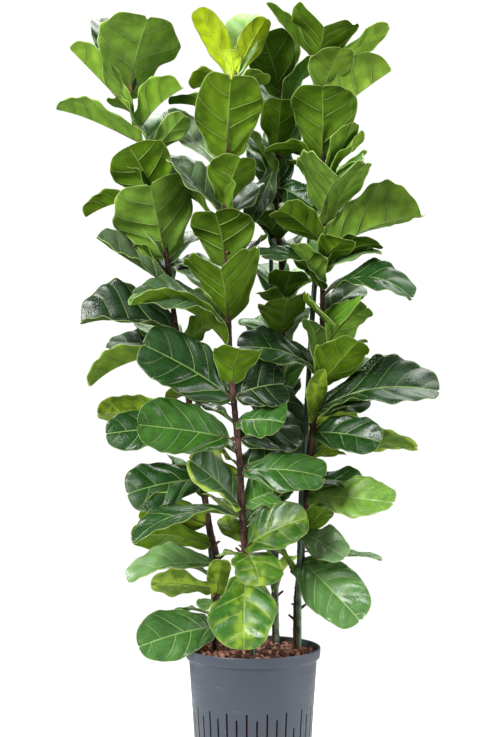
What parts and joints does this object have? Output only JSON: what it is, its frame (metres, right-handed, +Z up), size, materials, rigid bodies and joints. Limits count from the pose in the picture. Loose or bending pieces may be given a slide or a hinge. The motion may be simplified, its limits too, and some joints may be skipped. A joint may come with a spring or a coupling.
{
  "type": "potted fiddle leaf fig",
  "caption": "Upright fiddle leaf fig: slender staked stems with broad waved leaves, rooted in granulate in a round slotted grow pot.",
  "frame": {"origin": "centre of the pot's flat underside", "axes": "+Z up along the pot's axis, -Y towards the front of the plant, +X to the right seen from the front"},
  "size_m": [0.6059, 0.3117, 1.2304],
  "materials": {
    "pot_plastic": "satin",
    "granulate": "matte",
    "foliage": "satin",
    "stake_coating": "satin"
  },
  "bodies": {
    "root": {"pot": "pot_plastic", "substrate": "granulate", "leafy_stem_left": "foliage", "leafy_stem_middle": "foliage", "leafy_stem_right": "foliage", "leafy_stem_back": "foliage", "stake_left": "stake_coating", "stake_middle": "stake_coating", "stake_right": "stake_coating", "stake_back": "stake_coating"}
  },
  "joints": []
}
